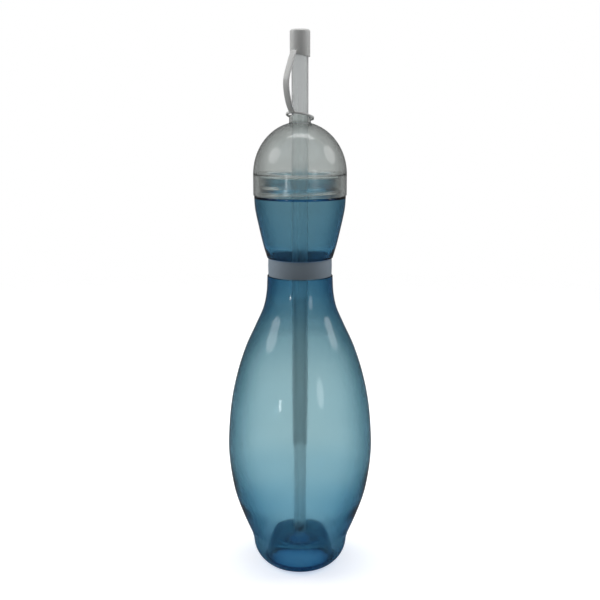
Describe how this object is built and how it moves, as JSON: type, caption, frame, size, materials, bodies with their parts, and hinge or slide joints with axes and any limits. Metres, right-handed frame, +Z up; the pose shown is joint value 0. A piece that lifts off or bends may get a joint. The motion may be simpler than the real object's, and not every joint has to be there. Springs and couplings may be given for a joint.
{
  "type": "bowling pin drinking bottle",
  "caption": "Hollow see-through drinking bottle in the shape of a bowling pin, with a waist band, a domed screw lid, a telescoping straw and a straw cap on a strap.",
  "frame": {"origin": "centre of the ring that the bottle stands on", "axes": "+Z up along the bottle's axis, -Y towards the viewer of the front"},
  "size_m": [0.102, 0.102, 0.3745],
  "materials": {
    "blue_clear_plastic": "clear tinted blue, polished",
    "grey_band_plastic": "satin grey",
    "seal_rubber": "soft matt",
    "smoke_clear_plastic": "clear, faint smoke grey, polished",
    "frosted_straw_plastic": "milky, half see-through",
    "soft_cap_plastic": "soft satin white"
  },
  "bodies": {
    "bottle": {"bottle_body": "blue_clear_plastic", "bottle_neck": "blue_clear_plastic", "neck_band": "grey_band_plastic"},
    "lid_carrier": {"lid_gasket": "seal_rubber"},
    "lid": {"dome_lid": "smoke_clear_plastic"},
    "straw": {"straw_upper": "frosted_straw_plastic"},
    "inner_straw": {"straw_lower": "frosted_straw_plastic"},
    "tether_ring": {"strap_ring": "soft_cap_plastic"},
    "cap": {"straw_cap": "soft_cap_plastic", "cap_strap": "soft_cap_plastic"}
  },
  "joints": [
    {"name": "lid_lift", "type": "slide", "parent": "bottle", "child": "lid_carrier", "axis": [0, 0, 1], "range_m": [0, 0.0064]},
    {"name": "lid_turn", "type": "hinge", "parent": "lid_carrier", "child": "lid", "pos_m": [0, 0, 0.272], "axis": [0, 0, 1], "range_deg": [0, 540]},
    {"name": "straw_slide", "type": "slide", "parent": "lid", "child": "straw", "axis": [0, 0, 1], "range_m": [0, 0.06]},
    {"name": "straw_telescope", "type": "slide", "parent": "straw", "child": "inner_straw", "axis": [0, 0, 1], "range_m": [0, 0.075]},
    {"name": "cap_swivel", "type": "hinge", "parent": "straw", "child": "tether_ring", "pos_m": [0, 0, 0.3186], "axis": [0, 0, 1], "continuous": true},
    {"name": "cap_pull", "type": "slide", "parent": "tether_ring", "child": "cap", "axis": [0, 0, 1], "range_m": [0, 0.012], "deforming": ["cap_strap"]}
  ],
  "couplings": [
    {"joint": "lid_lift", "follows": "lid_turn", "m_per_rad": 0.00067371}
  ]
}
